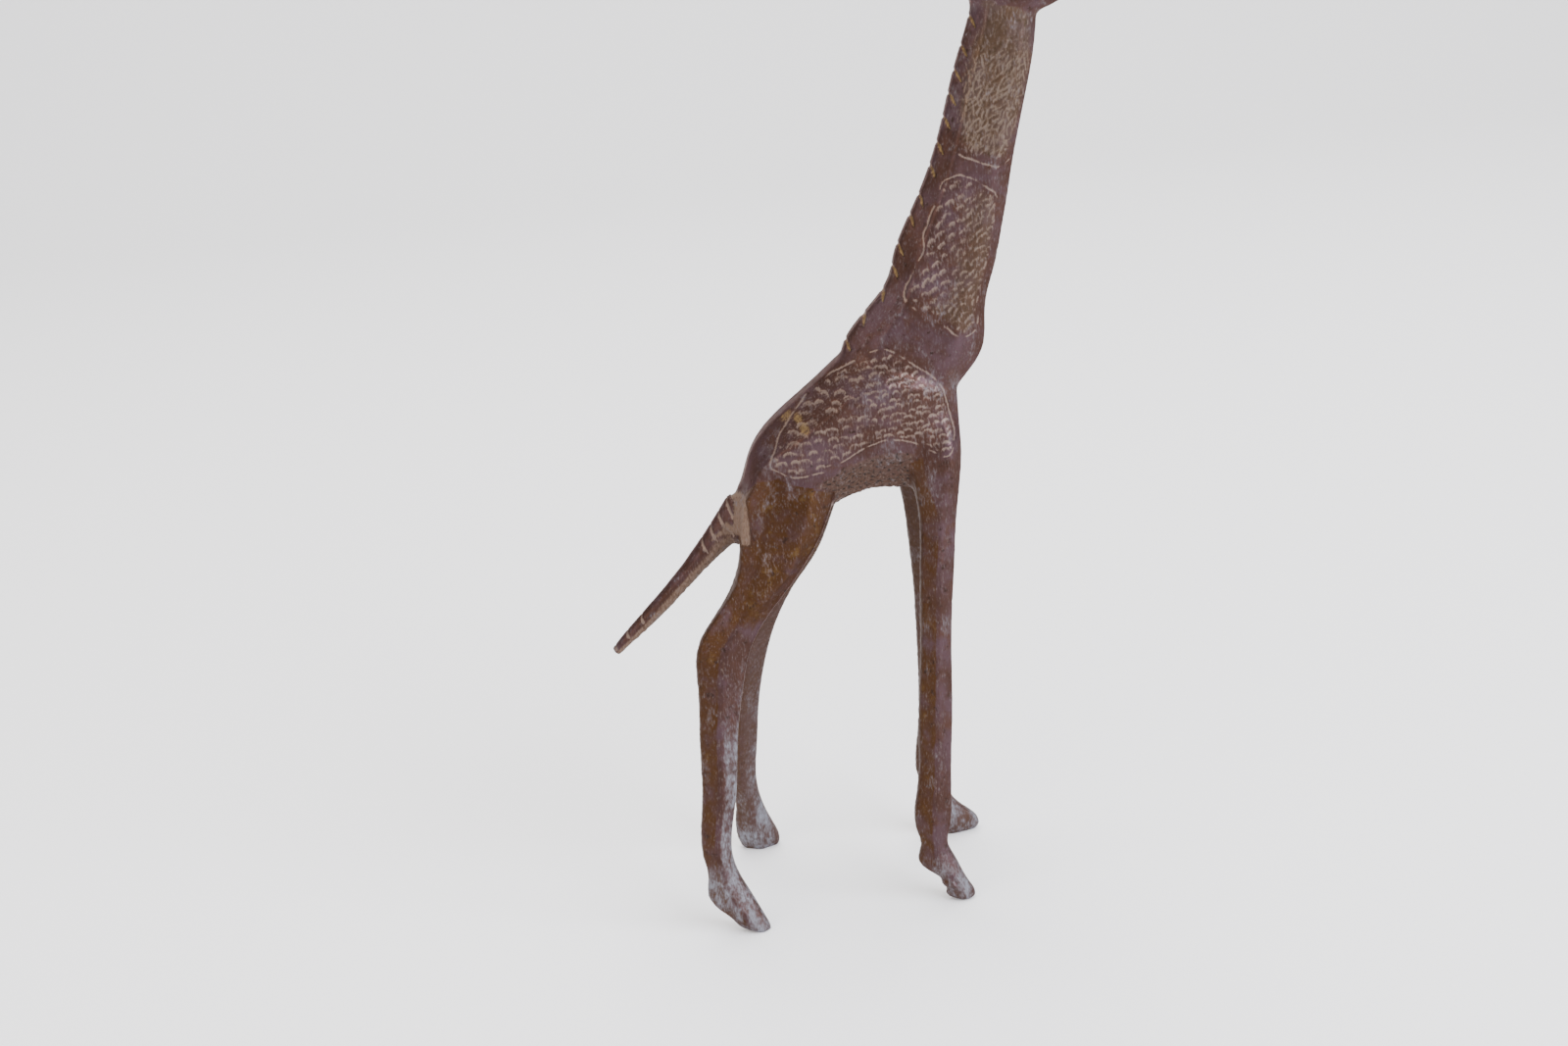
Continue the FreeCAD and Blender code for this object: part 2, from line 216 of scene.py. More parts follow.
# A fillet adds metal in an inner corner. It hardly takes any off an outer one.
outward = ((softened - place) * vertex_normals(blank)).sum(1)
place = place + np.where(outward > 0, 1.0, EDGE_LOSS)[:, None] * (softened - place)
place = relax(place, ends, np.full(len(place), FILING_PULL), FILING_ROUNDS)
set_places(blank, place)

shell = new_mesh_object("shell", blank)
shell.modifiers.new("refine", "SUBSURF").levels = 1
skin = evaluated_copy(shell)
place, ends, normal = vertex_places(skin), edge_ends(skin), vertex_normals(skin)
owner = owners.of(place)
is_piece = {node: owner == index for index, node in enumerate(NODES)}
is_leg = np.any([is_piece[node] for node in NODES if "leg" in node], axis=0)

# What the maker's tools do is kept per vertex: how deep they cut, in mm, and how bright their marks are.
cut = np.zeros(len(place))
stroke = np.zeros(len(place))
print("skin", len(place), "vertices")

# --------------------------------------------------------------------------------------------------
# Chased patches on the torso and the neck
# After casting, the maker outlines each patch with a pointed tool and fills it with rows of short
# punched strokes, each a small arch. They are shallow and have been rubbed, so they are lighter than
# the patina around them.
# --------------------------------------------------------------------------------------------------

LINE_WIDTH_MM = 0.30
LINE_DEPTH_MM = 0.07
LINE_EDGE_MM = 0.32
STROKE_DEPTH_MM = 0.09
STROKE_EDGE_MM = 0.30
STROKE_END_MM = 0.35
LINE_TO_STROKES_MM = 0.3
# How bright the metal between the strokes is, beside the strokes themselves.
RUBBED_GROUND = 0.18

# The torso's patch, as shares of the torso's length from the rump and of its height from the belly.
TORSO_PATCH = (
    (0.16, 0.47), (0.22, 0.62), (0.29, 0.72), (0.40, 0.87), (0.55, 0.96), (0.67, 1.03), (0.72, 1.02),
    (0.80, 0.94), (0.93, 0.82), (0.95, 0.68), (0.97, 0.52), (0.95, 0.44), (0.90, 0.43), (0.80, 0.52),
    (0.68, 0.56), (0.57, 0.53), (0.46, 0.45), (0.37, 0.41), (0.27, 0.40), (0.20, 0.44),
)
# The neck's patches, as shares of its height from the brisket and of its depth from the mane.
LOWER_NECK_PATCH = (
    (0.53, 0.17), (0.48, 0.20), (0.38, 0.19), (0.32, 0.25), (0.26, 0.18), (0.20, 0.18), (0.15, 0.40),
    (0.11, 0.64), (0.05, 0.82), (0.06, 0.93), (0.12, 0.95), (0.30, 0.93), (0.46, 0.92), (0.50, 0.66),
    (0.54, 0.40),
)
UPPER_NECK_PATCH = (
    (1.06, 0.22), (0.94, 0.03), (0.82, 0.01), (0.70, 0.05), (0.60, 0.22), (0.57, 0.50), (0.54, 0.98),
    (0.68, 1.07), (0.80, 1.07), (0.92, 1.06), (1.06, 0.90),
)


def outline_distance(first, second, outline):
    """Distance of each point from a closed outline: negative inside it."""
    corners = np.array(outline)
    nearest = np.full(len(first), np.inf)
    inside = np.zeros(len(first), bool)
    for (a1, a2), (b1, b2) in zip(corners, np.roll(corners, -1, 0)):
        run1, run2 = b1 - a1, b2 - a2
        share = np.clip(((first - a1) * run1 + (second - a2) * run2) / (run1**2 + run2**2), 0, 1)
        nearest = np.minimum(nearest, np.hypot(first - a1 - share * run1, second - a2 - share * run2))
        if run2:
            crosses = (a2 > second) != (b2 > second)
            inside ^= crosses & (first < a1 + run1 * (second - a2) / run2)
    return np.where(inside, -nearest, nearest)


def rounded(outline, rounds=2):
    """A closed outline with its corners cut off, rounds times over."""
    corners = np.array(outline, float)
    for _ in range(rounds):
        following = np.roll(corners, -1, 0)
        corners = np.stack([0.75 * corners + 0.25 * following, 0.25 * corners + 0.75 * following], 1)
        corners = corners.reshape(-1, 2)
    return corners


NOISE_CELLS = 32


def mottle(place, size, seed):
    """Smooth random values from 0 to 1, in lumps of about the given size."""
    table = np.random.default_rng(seed).random((NOISE_CELLS,) * 3)
    at = place / size + 0.37 * seed
    cell = np.floor(at).astype(int)
    share = smooth_step(at - cell)
    total = np.zeros(len(place))
    for corner in np.ndindex(2, 2, 2):
        weight = np.prod(np.where(corner, share, 1 - share), axis=1)
        total += weight * table[tuple(((cell + corner) % NOISE_CELLS).T)]
    return total


def punched(along, across, length, tail, gap_along, gap_across, droop, scatter, bare, seed):
    """Rows of short arched strokes, from 0 between them to 1 on them, in mm along and across the
    rows. A stroke is sharp on its upper side and fades over tail on its lower side. Its ends hang
    down by droop. It is turned by up to scatter, in radians. bare is the share of strokes left out."""
    table = np.random.default_rng(seed).random((7, 64, 64))
    marks = np.zeros(len(along))
    own_row = np.floor(across / gap_across).astype(int)
    for row in (own_row - 1, own_row, own_row + 1):
        stagger = table[6, row % 64, 0] * gap_along
        own_cell = np.floor((along - stagger) / gap_along).astype(int)
        for cell in (own_cell - 1, own_cell, own_cell + 1):
            shift1, shift2, turn, longer, stronger, there, _ = table[:, row % 64, cell % 64]
            from1 = along - stagger - (cell + 0.5 + 0.5 * (shift1 - 0.5)) * gap_along
            from2 = across - (row + 0.6 + 0.4 * (shift2 - 0.5)) * gap_across
            angle = scatter * (2 * turn - 1)
            along_stroke = from1 * np.cos(angle) + from2 * np.sin(angle)
            half = 0.5 * length * (0.65 + 0.6 * longer)
            bow = droop * np.minimum(np.abs(along_stroke / half), 1.5) ** 2
            above = from2 * np.cos(angle) - from1 * np.sin(angle) + bow
            upper_side = smooth_step(1 - above / STROKE_EDGE_MM)
            lower_side = smooth_step(1 + above / tail)
            faded = np.where(above > 0, upper_side, lower_side)
            ends = smooth_step((half - np.abs(along_stroke)) / STROKE_END_MM + 0.5)
            marks = np.maximum(marks, faded * ends * (0.55 + 0.45 * stronger) * (there > bare))
    return marks


def edges_at(part, heights, slices=90):
    """The lowest and highest X that a limb's skin has at each of the heights."""
    z, x = place[part, 2], place[part, 0]
    steps = np.linspace(z.min(), z.max(), slices + 1)
    own_slice = np.clip(np.digitize(z, steps) - 1, 0, slices - 1)
    filled = np.unique(own_slice)
    middle = 0.5 * (steps[filled + 1] + steps[filled])
    low = [x[own_slice == index].min() for index in filled]
    high = [x[own_slice == index].max() for index in filled]
    return np.interp(heights, middle, low), np.interp(heights, middle, high)


def box_mm(node):
    low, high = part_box(node)
    return np.array(low) / MM, np.array(high) / MM


side_facing = smooth_step((np.abs(normal[:, 1]) - 0.30) / 0.30)
left_side = place[:, 1] > 0
# The second side isn't a mirror copy: its rows are shifted, so that its strokes fall elsewhere.
LEFT_SHIFT_MM = (31.7, 17.3)
along_x = place[:, 0] + np.where(left_side, LEFT_SHIFT_MM[0], 0.0)
along_z = place[:, 2] + np.where(left_side, LEFT_SHIFT_MM[1], 0.0)
waver = 0.5 * (mottle(place, 2.4, 11) - 0.5)


def chase(where, distance, marks, outlined=1.0, fade=0.5, ragged=0.0):
    """A patch's depth of cut and its share of bright metal. distance is in mm from the outline,
    negative inside, and the outline is only drawn where outlined is 1. The marks fade out over fade,
    in mm, inside it, along an edge that is as uneven as ragged says."""
    gaps = smooth_step((mottle(place, 1.6, 12) - 0.26) / 0.20) * outlined
    off_line = np.abs(distance + waver) - LINE_WIDTH_MM / 2
    line = smooth_step(0.5 - off_line / LINE_EDGE_MM) * gaps
    inside = smooth_step((-distance - LINE_TO_STROKES_MM + ragged * waver) / fade)
    filled = marks * inside
    shown = where * side_facing
    bright = np.maximum.reduce([1.1 * line, filled, RUBBED_GROUND * inside])
    return shown * (LINE_DEPTH_MM * line + STROKE_DEPTH_MM * filled), shown * bright


def turned(degrees):
    """Coordinates along and across rows that rise by this angle towards the giraffe's head."""
    angle = math.radians(degrees)
    return (
        along_x * math.cos(angle) + along_z * math.sin(angle) + waver,
        along_z * math.cos(angle) - along_x * math.sin(angle) + waver,
    )


torso_low, torso_high = box_mm("torso")
torso_size = torso_high - torso_low
patch = rounded(TORSO_PATCH) * torso_size[[0, 2]] + torso_low[[0, 2]]
body_distance = outline_distance(place[:, 0], place[:, 2], patch)
wide_marks = punched(
    *turned(3.0), length=2.4, tail=1.10, gap_along=2.60, gap_across=1.80,
    droop=0.45, scatter=0.34, bare=0.06, seed=1,
)
close_marks = punched(
    *turned(8.0), length=1.7, tail=0.85, gap_along=1.90, gap_across=1.35,
    droop=0.35, scatter=0.36, bare=0.08, seed=2,
)
towards_breast = smooth_step((place[:, 0] - torso_low[0] - 0.52 * torso_size[0]) / 6.0 + 2.0 * waver)
depth, bright = chase(1.0, body_distance, wide_marks * (1 - towards_breast) + close_marks * towards_breast)
cut += depth
stroke = np.maximum(stroke, bright)

# The patches' heights are shares of the bare neck, from the brisket, which is a little below the
# withers, to the head's socket.
SOCKET_MM = 2.0
BELOW_WITHERS_MM = 2.0
brisket_height = torso_high[2] - BELOW_WITHERS_MM
neck_length = box_mm("neck")[1][2] - brisket_height
neck_back, neck_front = edges_at(is_piece["neck"], place[:, 2])
neck_share = (place[:, 2] - brisket_height) / (neck_length - SOCKET_MM)
depth_share = (place[:, 0] - neck_back) / (neck_front - neck_back)
on_neck = (neck_share > -0.08) * (is_piece["neck"] | is_piece["torso"] | is_piece["head"])

# The lower patch has separate strokes towards the mane and closer ones towards the throat. It has no
# outline along the throat.
LOWER_NECK_DEPTH_MM = 19.0
outline = rounded(LOWER_NECK_PATCH) * [neck_length, LOWER_NECK_DEPTH_MM]
distance = outline_distance(neck_share * neck_length, depth_share * LOWER_NECK_DEPTH_MM, outline)
wide_marks = punched(
    *turned(30.0), length=1.9, tail=1.15, gap_along=2.35, gap_across=2.05,
    droop=0.25, scatter=0.30, bare=0.05, seed=3,
)
close_marks = punched(
    *turned(38.0), length=1.5, tail=0.80, gap_along=1.60, gap_across=1.25,
    droop=0.10, scatter=0.60, bare=0.05, seed=4,
)
towards_throat = smooth_step((depth_share - 0.48) / 0.2 + 2.0 * waver)
marks = wide_marks * (1 - towards_throat) + close_marks * towards_throat
outlined = smooth_step((0.50 - depth_share) / 0.15) + smooth_step((0.13 - neck_share) / 0.05)
outlined = np.clip(outlined + 0.8 * (neck_share > 0.44), 0, 1)
depth, bright = chase(on_neck, distance, marks, outlined)
cut += depth
stroke = np.maximum(stroke, bright)
lower_patch = smooth_step(-distance / 1.5) * on_neck

# The upper patch is scratched closely, in strokes that cross. It fades out towards the nape, and has
# a line only at its bottom.
UPPER_NECK_DEPTH_MM = 15.0
outline = rounded(UPPER_NECK_PATCH) * [neck_length, UPPER_NECK_DEPTH_MM]
distance = outline_distance(neck_share * neck_length, depth_share * UPPER_NECK_DEPTH_MM, outline)
marks = np.maximum(
    punched(
        *turned(62.0), length=2.5, tail=0.60, gap_along=1.90, gap_across=1.00,
        droop=0.10, scatter=0.75, bare=0.06, seed=5,
    ),
    0.9 * punched(
        *turned(28.0), length=2.0, tail=0.55, gap_along=1.90, gap_across=1.20,
        droop=0.15, scatter=0.90, bare=0.12, seed=6,
    ),
)
marks *= 0.5 + 0.5 * smooth_step((0.93 - neck_share) / 0.12)
bottom_line = smooth_step((0.64 - neck_share) / 0.03)
depth, bright = chase(on_neck, distance, marks, bottom_line, fade=2.6, ragged=2.0)
cut += depth
stroke = np.maximum(stroke, bright)
upper_patch = smooth_step(-distance / 3.0) * on_neck

# --------------------------------------------------------------------------------------------------
# Mane
# The mane is only a row of slanted nicks, filed across the back edge of the neck from the nape to the
# withers. Each is leaf-shaped: widest in its middle.
# --------------------------------------------------------------------------------------------------

NICK_PITCH_MM = 4.6
NICK_LENGTH_MM = 1.8
NICK_WIDTH_MM = 0.62
NICK_DEPTH_MM = 0.22
NICK_EDGE_MM = 0.3
NICK_STEEPNESS = 1.35

mane_inward = np.maximum(place[:, 0] - neck_back, 0)
shift = np.random.default_rng(21).uniform(-0.16, 0.16, 64) * NICK_PITCH_MM
up_the_neck = place[:, 2] + NICK_STEEPNESS * mane_inward
nearest = np.floor(up_the_neck / NICK_PITCH_MM).astype(int)
from_nick = np.abs(up_the_neck - (nearest + 0.5) * NICK_PITCH_MM - shift[nearest % 64])
beside = from_nick / math.hypot(1, NICK_STEEPNESS)


def leaf_half_width(share, width_mm):
    """Half the width of a nick at a share of its length."""
    return 0.5 * width_mm * np.sqrt(np.clip(1 - np.abs(2 * share - 0.9), 0, 1))


leaf = leaf_half_width(mane_inward / NICK_LENGTH_MM, NICK_WIDTH_MM)
mane = smooth_step(0.5 - (beside - leaf) / NICK_EDGE_MM) * (leaf > 0)
mane = mane * is_piece["neck"] * (place[:, 2] > torso_high[2] + 0.5) * (depth_share < 0.45)
cut += NICK_DEPTH_MM * mane

# --------------------------------------------------------------------------------------------------
# Tail
# The tail is nicked like the mane: four nicks below its root and three before its tip. Its underside
# was never filed and has the sandy skin of the mould.
# --------------------------------------------------------------------------------------------------

# Where the nicks are, as shares of the tail's length.
TAIL_NICKS = (0.10, 0.17, 0.24, 0.31, 0.76, 0.86, 0.95)
TAIL_NICK_WIDTH_MM = 0.9
TAIL_NICK_DEPTH_MM = 0.16
TAIL_NICK_SLANT = 0.65
tail_low, tail_high = box_mm("tail")
tail_run = np.array([tail_low[0] - tail_high[0], 0, tail_low[2] - tail_high[2]])
tail_length = np.linalg.norm(tail_run)
tail_way = tail_run / tail_length
from_root = (place - [tail_high[0], 0, tail_high[2]]) @ tail_way
tail_up = np.array([tail_way[2], 0, -tail_way[0]])
tail_top = normal @ tail_up
# A nick slants towards the tip from the top edge to just below the middle of the side.
down_the_side = (1.0 - tail_top) / 1.1
leaf = leaf_half_width(down_the_side, TAIL_NICK_WIDTH_MM)
tail_marks = np.zeros(len(place))
for share in TAIL_NICKS:
    beside = np.abs(from_root - share * tail_length - TAIL_NICK_SLANT * np.abs(place[:, 1]))
    nick = smooth_step(0.5 - (beside - leaf) / NICK_EDGE_MM) * (leaf > 0) * is_piece["tail"]
    tail_marks = np.maximum(tail_marks, nick)
stroke = np.maximum(stroke, tail_marks)
cut += TAIL_NICK_DEPTH_MM * tail_marks

# --------------------------------------------------------------------------------------------------
# Head
# Plain and small, as these figures have it: a drilled nostril and a cut mouth on each side, and an
# almond eye raised a little from the cheek.
# --------------------------------------------------------------------------------------------------

LID_DEPTH_MM = 0.22
EYE_HEIGHT_MM = 0.30
NOSTRIL_DEPTH_MM = 0.35
MOUTH_DEPTH_MM = 0.26
MOUTH_SLOPE = 0.10

head_low, head_high = box_mm("head")
head_size = head_high - head_low


def head_place(forward, up):
    """A place on the profile, as shares of the head's length from its back and of its height."""
    return head_low[0] + forward * head_size[0], head_low[2] + up * head_size[2]


on_head = is_piece["head"] * smooth_step((np.abs(normal[:, 1]) - 0.2) / 0.3)


def almond(forward, up, half_length, half_height, lean):
    """How far out of an almond shape, leaning back by lean in radians, each point is. It is under 1
    inside the shape."""
    x, z = head_place(forward, up)
    run, rise = place[:, 0] - x, place[:, 2] - z
    along = run * math.cos(lean) + rise * math.sin(lean)
    over = rise * math.cos(lean) - run * math.sin(lean)
    return np.abs(along / half_length) ** 1.6 + np.abs(over / half_height) ** 1.6


eye = almond(0.36, 0.66, half_length=1.9, half_height=1.15, lean=0.1)
lid = on_head * smooth_step(0.5 - (np.abs(eye - 1.0) - 0.22) / 0.4)
eyeball = on_head * smooth_step((1.0 - eye) / 0.8)
cut += LID_DEPTH_MM * lid - EYE_HEIGHT_MM * eyeball
stroke = np.maximum(stroke, 0.5 * lid)

nostril = almond(0.93, 0.60, half_length=0.75, half_height=0.45, lean=0.6)
cut += NOSTRIL_DEPTH_MM * on_head * smooth_step(1.2 - nostril)

mouth_x, mouth_z = head_place(0.80, 0.36)
from_mouth = place[:, 2] - mouth_z - MOUTH_SLOPE * (place[:, 0] - mouth_x)
before_corner = smooth_step((place[:, 0] - mouth_x) / 1.0)
mouth = smooth_step(0.5 - (np.abs(from_mouth) - 0.16) / 0.3) * before_corner * is_piece["head"]
cut += MOUTH_DEPTH_MM * mouth

# --------------------------------------------------------------------------------------------------
# Filing and casting skin, all over
# The outside was filed smooth by hand, which leaves long, slightly uneven facets. The belly, the
# inner sides of the legs and the hollows behind them kept the sandy skin of the mould.
# --------------------------------------------------------------------------------------------------

SAND_DEPTH_MM = 0.30
BELLY_RIM_DEPTH_MM = 0.45
CREASE_DEPTH_MM = 0.06
WEB_DEPTH_MM = 0.30
FACET_DEPTH_MM = 0.20
DENT_DEPTH_MM = 0.08
CREASE_TOP_MM = 78
WEB_REACH_MM = 2.8
# How far above the belly the web starts and ends.
WEB_BOTTOM_MM = 2.0
WEB_TOP_MM = 12.0
SOLE_FILL_MM = 0.75
SOLE_DIP_HEIGHT_MM = 3.9

is_hind_leg = is_piece["hind_leg_left"] | is_piece["hind_leg_right"]
height = place[:, 2]
inward_facing = smooth_step((-normal[:, 1] * np.sign(place[:, 1]) - 0.15) / 0.4)
rear_facet = is_leg * smooth_step((-normal[:, 0] - 0.12) / 0.22)
front_facet = is_leg * smooth_step((normal[:, 0] - 0.30) / 0.35)
rear_edge = is_leg * smooth_step((-normal[:, 0] - 0.65) / 0.2)
crease = is_leg * np.exp(-((normal[:, 0] / 0.14) ** 2)) * side_facing * (height < CREASE_TOP_MM)
belly = smooth_step((-normal[:, 2] - 0.25) / 0.35) * is_piece["torso"]
belly_rim = smooth_step((-normal[:, 2] - 0.08 + 0.5 * waver) / 0.2) * side_facing
belly_rim = belly_rim * is_piece["torso"]
tail_under = smooth_step((0.25 - tail_top + 0.5 * waver) / 0.4) * is_piece["tail"]
# A web of sandy metal is left between the root of the tail and the thighs.
web = smooth_step((torso_low[0] + WEB_REACH_MM + 1.8 * waver - place[:, 0]) / 0.8)
web = web * np.where(is_piece["tail"], smooth_step((0.50 - tail_top + waver) / 0.3), 1.0)
web = web * smooth_step((height - torso_low[2] - WEB_BOTTOM_MM + 3.0 * waver) / 1.0)
web = web * smooth_step((torso_low[2] + WEB_TOP_MM + 2.0 * waver - height) / 1.0)
inner_sides = inward_facing * is_leg
rough_cast = np.maximum.reduce(
    [0.8 * inner_sides, belly, 0.8 * belly_rim, tail_under, web, 0.15 * rear_facet, 0.8 * rear_edge]
)

grain = 0.6 * mottle(place, 0.80, 31) + 0.4 * mottle(place, 0.45, 32) - 0.5
long_facets = mottle(place * [1, 1, 0.3], 3.4, 34) - 0.5
long_facets = np.where(is_leg | is_piece["neck"], 1.0, 0.6) * long_facets
dents = smooth_step((mottle(place, 1.5, 35) - 0.84) / 0.10)
cut += (SAND_DEPTH_MM * rough_cast + BELLY_RIM_DEPTH_MM * belly_rim) * grain
cut += CREASE_DEPTH_MM * crease + WEB_DEPTH_MM * web
cut += FACET_DEPTH_MM * long_facets + DENT_DEPTH_MM * dents
# The sole of the raised front foot runs straight from the heel to the toe, so the dip before the toe
# is filled out.
under_toe = is_piece[RAISED_FOOT] * smooth_step(-normal[:, 0] / 0.5)
cut -= SOLE_FILL_MM * under_toe * np.exp(-((height - SOLE_DIP_HEIGHT_MM) ** 2))

place = place - normal * cut[:, None]
# The soles stand on the table, so what is below it is pushed up to it.
place[:, 2] = np.maximum(place[:, 2], 0.0)
set_places(skin, place)
normal = vertex_normals(skin)
curve = ((neighbour_mean(place, ends) - place) * normal).sum(1)
bend = relax(curve[:, None], ends, np.full(len(curve), 0.5), 3)[:, 0]

# Pale bloom sits where hands don't rub: down the fronts of the hind shanks, on the feet, and thinly
# elsewhere. Down the fronts of the hind shanks, which face the window light, it is also a painted
# reflection of that light, and on the breast it is a painted sheen. The heights are those at which it
# starts, going down.
HIND_SHANK_TOP_MM = 60.0
HIND_FOOT_TOP_MM = 18.0
FRONT_FOOT_TOP_MM = 14.0
BREAST_SIZE_MM = (3, 12, 7)
streaks = 0.6 * mottle(place * [1, 1, 0.35], 1.5, 41) + 0.4 * mottle(place, 0.7, 42)
patches = mottle(place, 4.5, 43)
hind_fronts = is_hind_leg * front_facet * smooth_step((HIND_SHANK_TOP_MM - height) / 24.0)
hind_fronts = hind_fronts * (1.9 * streaks - 0.35)
# The far hind leg, away from the window light, gets half of it.
hind_fronts = hind_fronts * np.where(is_piece["hind_leg_left"], 0.5, 1.0)
hind_feet = is_hind_leg * smooth_step((HIND_FOOT_TOP_MM - height) / 8.0) * (1.6 * streaks - 0.30)
front_feet = is_leg * smooth_step((FRONT_FOOT_TOP_MM - height) / 8.0) * (1.35 * streaks - 0.25)
thin = 0.30 * smooth_step((0.5 * patches + streaks - 0.85) / 0.30)
# Painted sheen: a pale spot high on the breast, where the window light catches it.
breast_middle = [torso_high[0] - 0.8, 0, torso_low[2] + 0.78 * torso_size[2]]
off_breast = np.linalg.norm((place - breast_middle) / BREAST_SIZE_MM, axis=1)
breast = 0.45 * smooth_step(1 - off_breast)
bloom_and_sheen = np.maximum.reduce([hind_fronts, hind_feet, front_feet, thin, breast])

# Hands have rubbed a few spots above the flank down to the golden metal. Each is given by its place, as
# shares of the torso's length and height, and by its radius in mm.
GOLD_SPOTS = ((0.255, 0.72, 1.7), (0.31, 0.70, 1.1), (0.33, 0.655, 1.3))
gold = 0.75 * mane + 0.25 * tail_marks
on_flank = is_piece["torso"] * side_facing
for forward, up, radius_mm in GOLD_SPOTS:
    run = place[:, 0] - torso_low[0] - forward * torso_size[0]
    rise = height - torso_low[2] - up * torso_size[2]
    spot = smooth_step(1.4 - np.hypot(run, rise) / radius_mm)
    gold = np.maximum(gold, 0.7 * on_flank * spot)

# The patina is olive on the thighs and mossy in the neck's patches. The rear facets of the legs, which
# face away from the window light, get the same olive as painted shade.
THIGH_BOTTOM_MM = 58.0
thighs = is_hind_leg * smooth_step((height - THIGH_BOTTOM_MM) / 8.0)
thighs = thighs * smooth_step((1 - bloom_and_sheen - 0.2) / 0.5)
olive_and_rear_shade = np.maximum(0.9 * thighs, 0.8 * rear_facet)
moss = np.maximum(0.50 * upper_patch, 0.40 * lower_patch * towards_throat)
crease_sand = 0.8 * crease * (streaks - 0.1)

skin_values = {
    "skin_stroke": stroke,
    "skin_rough": rough_cast,
    "skin_bloom_and_sheen": bloom_and_sheen,
    "skin_gold": gold,
    "skin_olive_and_rear_shade": olive_and_rear_shade,
    "skin_moss": moss,
    "skin_sand": np.maximum.reduce([0.9 * web, 0.35 * belly_rim, 0.8 * tail_under, crease_sand]),
    # Painted highlight: the convex edges of the filed metal get a pale purplish grey sheen.
    "skin_ridge_sheen": 0.3 * smooth_step(-bend / 0.014 - 0.5) * (1 - rough_cast),
    # Painted shade: concave places, the cuts and nicks among them, are darkened as if shaded.
    "skin_hollow_shade": smooth_step(bend / 0.012 - 0.3),
}

# --------------------------------------------------------------------------------------------------
# Bronze
# Tin bronze, hand filed, under a waxed reddish brown patina. It runs to olive where it is thick and to
# purplish grey where it is thin. Rubbed metal is golden, and damp has left a pale grey bloom low down.
# Light and shade are painted into the colour too: shade in the hollows and on the rear facets of the
# legs, and a pale sheen on the ridges, down the fronts of the hind shanks and on the breast.
# --------------------------------------------------------------------------------------------------


def linear(code):
    """A colour written as sRGB hex, as the linear values the shader takes."""
    shares = [int(code[i : i + 2], 16) / 255 for i in (1, 3, 5)]
    return [*(s / 12.92 if s <= 0.04045 else ((s + 0.055) / 1.055) ** 2.4 for s in shares), 1.0]


def add_node(tree, kind, settings=(), values=(), links=(), output=0):
    """Adds a node to a material, with its options, its own input values and what feeds its inputs.
    Gives back the output of that number or name, or the node itself if it has none."""
    node = tree.nodes.new(kind)
    for name, value in dict(settings).items():
        setattr(node, name, value)
    for name, value in dict(values).items():
        node.inputs[name].default_value = value
    for name, source in dict(links).items():
        tree.links.new(source, node.inputs[name])
    return node.outputs[output] if node.outputs else node


